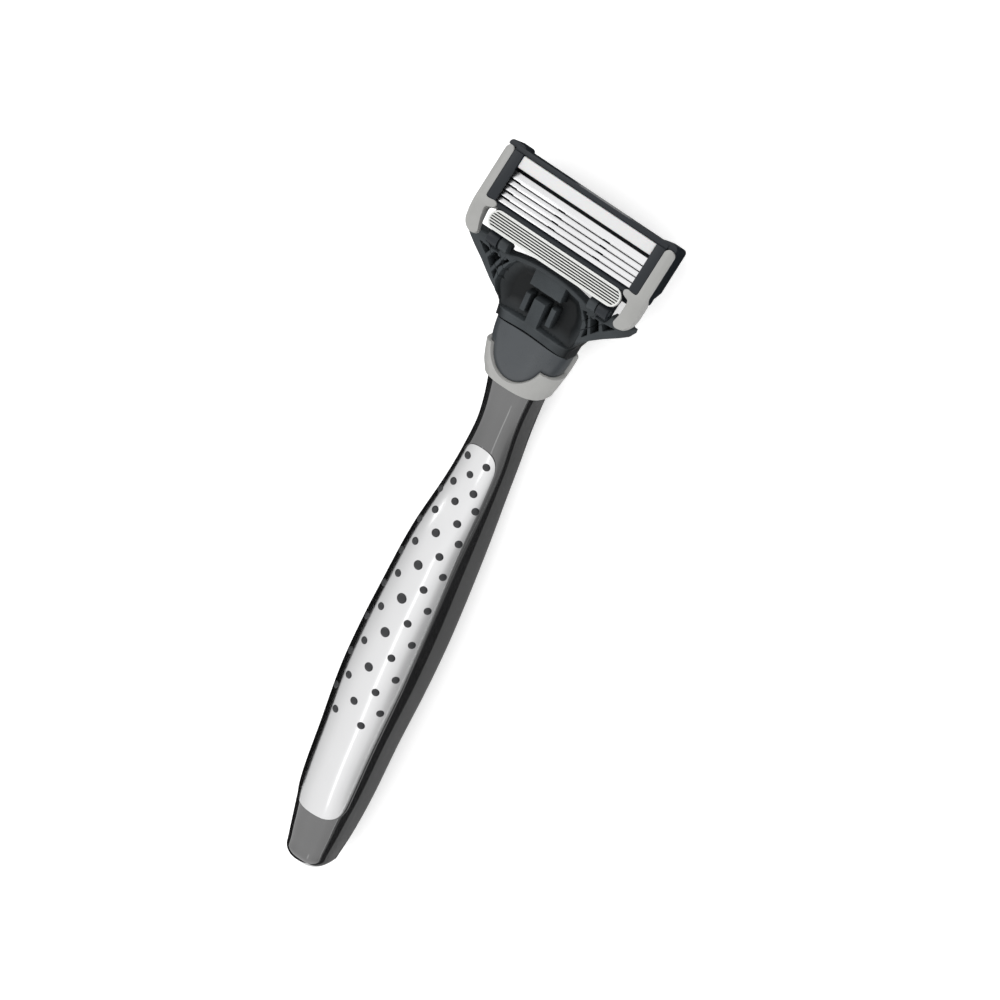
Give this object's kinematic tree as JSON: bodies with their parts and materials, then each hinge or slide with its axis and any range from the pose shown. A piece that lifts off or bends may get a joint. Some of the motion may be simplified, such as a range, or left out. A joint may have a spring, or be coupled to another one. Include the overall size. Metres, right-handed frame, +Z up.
{
  "type": "cartridge razor",
  "caption": "Wet-shaving razor with a weighted gloss handle, a nubbed metal grip plate and a pivoting multi-blade cartridge that a thumb button releases.",
  "frame": {"origin": "middle of the flat rest land on the back of the handle, on the surface that the razor lies on", "axes": "+X along the blades to the right, +Y along the handle from the butt to the head, +Z up out of the grip side"},
  "size_m": [0.0406, 0.1534, 0.0189],
  "materials": {
    "gloss_body": "high gloss black moulding",
    "core_steel": "turned steel",
    "nub_rubber": "soft black rubber",
    "plate_chrome": "satin chromed sheet",
    "dark_nylon": "moulded black nylon",
    "warm_grey_trim": "satin warm grey moulding",
    "slate_button": "satin slate moulding",
    "pale_acetal": "natural acetal",
    "spring_steel": "drawn spring wire",
    "slate_plastic": "satin slate moulding",
    "charcoal_plastic": "satin charcoal moulding",
    "fin_rubber": "pale grey elastomer",
    "strip_white": "waxy white strip",
    "blade_steel": "ground blade steel",
    "support_steel": "stamped steel",
    "soft_trim": "warm grey elastomer"
  },
  "bodies": {
    "handle": {"handle_shell": "gloss_body", "rear_cover": "gloss_body", "weight_bar": "core_steel", "grip_pad": "nub_rubber", "grip_plate": "plate_chrome", "docking_snout": "dark_nylon", "neck_collar": "warm_grey_trim"},
    "release": {"release_button": "slate_button", "ejector": "pale_acetal", "ejector_spring": "spring_steel"},
    "yoke": {"yoke": "slate_plastic"},
    "cartridge": {"cartridge_housing": "charcoal_plastic", "guard_shelf": "charcoal_plastic", "fin_guard": "fin_rubber", "strip_holder": "charcoal_plastic", "lube_strip": "strip_white", "blade_1": "blade_steel", "blade_2": "blade_steel", "blade_3": "blade_steel", "blade_4": "blade_steel", "blade_5": "blade_steel", "blade_support_1": "support_steel", "blade_support_2": "support_steel", "blade_support_3": "support_steel", "blade_support_4": "support_steel", "blade_support_5": "support_steel", "retainer_left": "charcoal_plastic", "retainer_right": "charcoal_plastic", "side_trim_left": "soft_trim", "side_trim_right": "soft_trim", "flex_link_left": "soft_trim", "flex_link_right": "soft_trim"}
  },
  "joints": [
    {"name": "button_push", "type": "slide", "parent": "handle", "child": "release", "axis": [0, 1, 0], "range_m": [0, 0.0024], "stiffness_N_per_m": 900, "springref_m": -0.0005, "deforming": ["ejector_spring"]},
    {"name": "cartridge_release", "type": "slide", "parent": "release", "child": "yoke", "axis": [0, 1, 0], "range_m": [0, 0.0095]},
    {"name": "head_pivot", "type": "hinge", "parent": "yoke", "child": "cartridge", "pos_m": [0, 0.0807, 0.0146], "axis": [-1, 0, 0], "range_deg": [0, 40], "stiffness_Nm_per_rad": 0.004, "springref_deg": -20.05, "deforming": ["flex_link_left", "flex_link_right"]}
  ]
}
